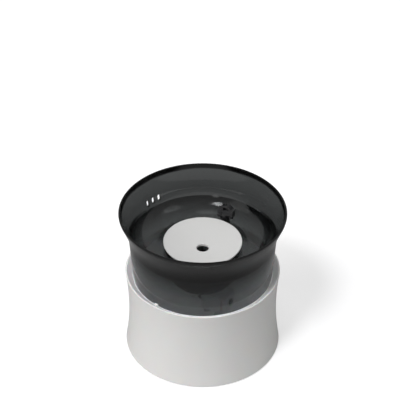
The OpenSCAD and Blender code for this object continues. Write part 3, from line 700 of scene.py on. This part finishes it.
# %% [markdown]
# ## Lid
#
# The lid is two mouldings: a light satin plate with a finger hole, and a dark body under it with
# the locating lugs and the scoop where the water runs in. The plate's edge is a fine round with a
# bevel below, which is the bright line at its front in the photograph.

# %% Lid plate
plate_low, plate_high = [corner.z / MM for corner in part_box("lid_plate")]
plate_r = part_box("lid_plate")[1].x / MM
plate_t = 3.2
plate_z = plate_high - plate_t
finger_y, finger_r = -14.0, 7.5
plate = turned([(0, plate_z), (plate_r - 1.4, plate_z, 0.4), (plate_r, plate_z + 1.5, 0.6),
                (plate_r, plate_high, 0.8), (0, plate_high)], 160)
flare = turned([(0, plate_z - 5), (finger_r, plate_z - 5), (finger_r, plate_high - 0.7, 1.2),
                (finger_r + 1.0, plate_high + 0.3), (0, plate_high + 0.3)], 96)
bmesh.ops.translate(flare, vec=(0, finger_y, 0), verts=flare.verts)
plate = cut(plate, flare)
bmesh.ops.dissolve_limit(plate, angle_limit=math.radians(0.3), verts=plate.verts,
                         edges=plate.edges)
lip_inner_r, lip_outer_r, lip_top = 35, 37, plate_z + 0.1
lip = turned([(lip_inner_r, plate_low), (lip_outer_r, plate_low), (lip_outer_r, lip_top),
              (lip_inner_r, lip_top)], 96)
lip = cut(lip, block((-20, -40, plate_low - 2), (20, -22, plate_z + 2)))
piece("lid_top", plate, "lid", plate_grey, "lid_plate", slot="plate_grey")
piece("lid_top_lip", lip, "lid", plate_grey, slot="plate_grey")

# %% Lid body, filter cup and riser
eased("lid_body", "lid", dark_grey_plastic, 0.35, slot="dark_grey_plastic")
eased("filter_cup", "bowl", dark_smoked_plastic, 0.3, slot="dark_smoked_plastic")
eased("riser_tube", "bowl", smoked_plastic, 0.25, slot="smoked_plastic")
eased("filter_frame", "filter", clear_plastic, 0.2, slot="clear_plastic")

# %% Nozzle and pump
eased("nozzle_body", "bowl", black_plastic, 0.3, slot="black_plastic")
eased("nozzle_knob", "knob", black_plastic, 0.25, slot="black_plastic")
eased("pump_housing", "base", pump_white, 0.5, slot="pump_white")
eased("pump_back_plate", "base", pump_white, 0.3, slot="pump_white")
eased("intake_cover", "pump_cover", pump_white, 0.3, slot="pump_white")
eased("flow_dial", "dial", black_plastic, 0.25, slot="black_plastic")

# %% The nodes whose CAD shape is already right
for node, finish in {
    "bottom_cover": white_plastic, "cover_screws": steel, "rubber_feet": black_rubber,
    "pump_stator": iron_core, "pump_shaft": ceramic_shaft, "pump_chamber_cap": pump_white,
    "pump_outlet_seal": black_rubber, "pump_suction_cups": clear_rubber, "intake_sponge": sponge,
    "impeller": pump_white, "rotor_magnet": iron_core, "riser_seal": black_rubber,
}.items():
    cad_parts[node].material_slots[0].material = finish.material

# %% [markdown]
# ## The filter's pads
#
# Each half of the filter is a bag of thin fleece, filled with grains and welded down round its
# edge to the clear flange. A bag starts as a half-moon with steep sides, a little too small, and
# is blown up as cloth for a moment, which rounds its corners and tightens its sides as the
# filling does. Small creases and the weld's waves are pressed in after that.

# %% Bag shapes
pad_low, pad_high = [corner.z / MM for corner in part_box("filter_pad_right")]
pad_r, pad_gap, corner_r = 40.0, 0.9, 9.0
corner_y = math.sqrt((pad_r - corner_r) ** 2 - (pad_gap + corner_r) ** 2)
corner_turn = math.atan2(corner_y, pad_gap + corner_r)
half_moon = (arc(0, 0, pad_r, -corner_turn, corner_turn, 40)
             + arc(pad_gap + corner_r, corner_y, corner_r, corner_turn + 0.1, math.pi, 14)
             + arc(pad_gap + corner_r, -corner_y, corner_r, math.pi, TURN - corner_turn - 0.1, 14))
bag_middle = Vector((pad_r * 0.44, 0))
bag_levels = [(0.985, 0.2), (0.965, 3.0), (0.94, 5.6), (0.90, 7.2), (0.82, 8.1), (0.6, 8.5),
              (0.3, 8.7)]


def bag(side):
    """A closed half-moon bag; side is 1 for the right one and -1 for the left one."""
    solid = bmesh.new()
    rings = []
    for size, height in bag_levels:
        ring = [bag_middle + (Vector(p) - bag_middle) * size for p in half_moon]
        rings.append([solid.verts.new((side * p.x, side * p.y, pad_low + height)) for p in ring])
    for low_ring, high_ring in zip(rings, rings[1:]):
        for i in range(len(low_ring)):
            j = (i + 1) % len(low_ring)
            solid.faces.new((low_ring[i], low_ring[j], high_ring[j], high_ring[i]))
    solid.faces.new(rings[0][::-1])
    solid.faces.new(rings[-1])
    bmesh.ops.recalc_face_normals(solid, faces=solid.faces)
    bmesh.ops.scale(solid, vec=(MM, MM, MM), verts=solid.verts)
    return solid


# %% Cloth
voxel, swell_cap, frames = 0.0012, 0.9, 12
crease_mm, crease_scale, dimple_mm, dimple_scale = 0.32, 55, 0.12, 600


def baked(thing):
    """The thing's mesh with its modifiers applied."""
    shaped = thing.evaluated_get(bpy.context.evaluated_depsgraph_get())
    mesh = bpy.data.meshes.new_from_object(shaped)
    thing.modifiers.clear()
    thing.data = mesh
    return mesh


def filled(name, side, node):
    thing = as_object(bag(side), name)
    remesh = thing.modifiers.new("remesh", "REMESH")
    remesh.mode, remesh.voxel_size = "VOXEL", voxel
    before = [v.co.copy() for v in baked(thing).vertices]
    cloth = thing.modifiers.new("cloth", "CLOTH")
    cloth.settings.use_pressure, cloth.settings.uniform_pressure_force = True, 4
    cloth.settings.effector_weights.gravity = 0
    cloth.settings.quality = 5
    cloth.point_cache.frame_start, cloth.point_cache.frame_end = 1, frames
    for frame_number in range(1, frames + 1):
        scene.frame_set(frame_number)
    baked(thing)
    scene.frame_set(1)
    most = swell_cap * MM
    for vert, start in zip(thing.data.vertices, before):
        moved = vert.co - start
        if moved.length > most:
            moved *= most / moved.length
        spot = start + moved
        side_pull = abs(vert.normal.z) ** 2
        crease = noise.ridged_multi_fractal(spot * crease_scale, 0.9, 2.1, 3, 1.0, 2.0) - 1.1
        dimple = noise.noise(spot * dimple_scale)
        pressed = crease * crease_mm * (0.35 + 0.65 * side_pull) + dimple_mm * dimple
        spot += vert.normal * MM * pressed
        spot.z = min(max(spot.z, (pad_low + 0.15) * MM), (pad_high + 0.8) * MM)
        vert.co = spot
    smooth = thing.modifiers.new("smooth", "SUBSURF")
    smooth.levels = smooth.render_levels = 1
    thing.data.shade_smooth()
    thing.data.materials.clear()
    thing.data.materials.append(filter_fleece.material)
    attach(thing, "filter")
    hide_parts(node)
    return thing


filled("filter_bag_right", 1, "filter_pad_right")
filled("filter_bag_left", -1, "filter_pad_left")

# %% Welded fleece round and between the bags
weld_r, weld_t, strip_w, strip_h = 41.3, 0.45, 1.1, 2.4
weld = turned([(0, pad_low + 0.05), (weld_r, pad_low + 0.05), (weld_r, pad_low + weld_t),
               (0, pad_low + weld_t)], 180)
ridge = block((-strip_w, -pad_r + 1, pad_low), (strip_w, pad_r - 1, pad_low + strip_h), 0.5)
long_edges = [e for e in ridge.edges if abs(e.verts[0].co.y - e.verts[1].co.y) > pad_r]
bmesh.ops.subdivide_edges(ridge, edges=long_edges, cuts=60)
for vert in ridge.verts:
    lean = (vert.co.z - pad_low) / strip_h
    vert.co.x += strip_w * noise.noise(Vector((0, vert.co.y * 0.22, 3))) * lean
    if vert.co.z > pad_low + 1:
        vert.co.z += 1.2 * noise.noise(Vector((5, vert.co.y * 0.3, 1)))
piece("filter_weld", weld, "filter", fleece_edge, slot="filter_fleece")
piece("filter_weld_ridge", ridge, "filter", fleece_edge, slot="filter_fleece", smooth=60)

# %% [markdown]
# ## Floor and light
#
# The photograph is cut out on white. Here a plain white floor stands in for it and keeps the
# object's soft shadow. A large lamp on the left gives the bright left side and the grey right
# side of the base, one high in front and one high on the right light the tops, and one above
# reaches into the tank. Their own mirror images would be hard ovals on the smoked plastic, so
# gloss sees only one small soft lamp. The world is a dim even white that turns plain white for
# the camera and for what clear plastic shows of it, and gloss sees a quarter of that.

# %% Floor
glossy_share = 0.25
floor_finish = Finish("floor", Roughness=0.9)
camera_ray, clear_ray, glossy_ray = [
    floor_finish.node("ShaderNodeLightPath", output=f"Is {kind} Ray")
    for kind in ("Camera", "Transmission", "Glossy")]
seen = camera_ray + clear_ray + glossy_ray * glossy_share
floor_grey, dim_grey = (0.62, 0.62, 0.62), (0.15, 0.15, 0.15)
floor_finish.set("Base Color", floor_finish.between(glossy_ray, floor_grey, dim_grey))
floor_finish.set("Emission Color", (1, 1, 1))
floor_finish.links.new((seen * 0.5).socket, floor_finish.shader.inputs["Emission Strength"])
floor_solid = bmesh.new()
bmesh.ops.create_grid(floor_solid, x_segments=1, y_segments=1, size=6)
floor = as_object(floor_solid, "floor")
floor.data.materials.append(floor_finish.material)

# %% World
world = bpy.data.worlds.new("world")
scene.world = world
world.use_nodes = True
sky = world.node_tree
background = sky.nodes["Background"]
path = sky.nodes.new("ShaderNodeLightPath")
total = path.outputs["Is Camera Ray"]
for name, share in (("Is Glossy Ray", glossy_share), ("Is Transmission Ray", 1)):
    add = sky.nodes.new("ShaderNodeMath")
    add.operation = "MULTIPLY_ADD"
    sky.links.new(path.outputs[name], add.inputs[0])
    add.inputs[1].default_value = share
    sky.links.new(total, add.inputs[2])
    total = add.outputs[0]
strength = sky.nodes.new("ShaderNodeMapRange")
sky.links.new(total, strength.inputs["Value"])
strength.inputs["To Min"].default_value = 0.20
strength.inputs["To Max"].default_value = 1.0
sky.links.new(strength.outputs[0], background.inputs["Strength"])
background.inputs["Color"].default_value = (1, 1, 1, 1)


# %% Lamps
def lamp(name, place, aim, size, watts, colour=(1, 1, 1), glint=True):
    data = bpy.data.lights.new(name, "AREA")
    data.energy, data.shape, data.size, data.color = watts, "DISK", size, colour
    made = bpy.data.objects.new(name, data)
    made.location = place
    made.visible_glossy = glint
    made.rotation_euler = (Vector(aim) - Vector(place)).to_track_quat("-Z", "Y").to_euler()
    scene.collection.objects.link(made)


lamp("key", (-4.0, -1.7, 3.0), (0, 0, 0.2), 3.0, 100, (1.0, 0.99, 0.97), glint=False)
lamp("front", (-1.6, -2.4, 4.4), (0, 0, 0.1), 1.2, 145, (0.98, 0.98, 1.0), glint=False)
lamp("fill", (3.0, -1.2, 4.4), (0, 0, 0.2), 2.0, 50, glint=False)
lamp("soft", (-1.5, -4.0, 2.2), (0, 0, 0.2), 0.8, 2)
lamp("top", (-0.4, 0.6, 5.0), (0, 0, 0.2), 1.6, 25, (0.97, 0.97, 1.0), glint=False)
scene.view_settings.view_transform = "Standard"
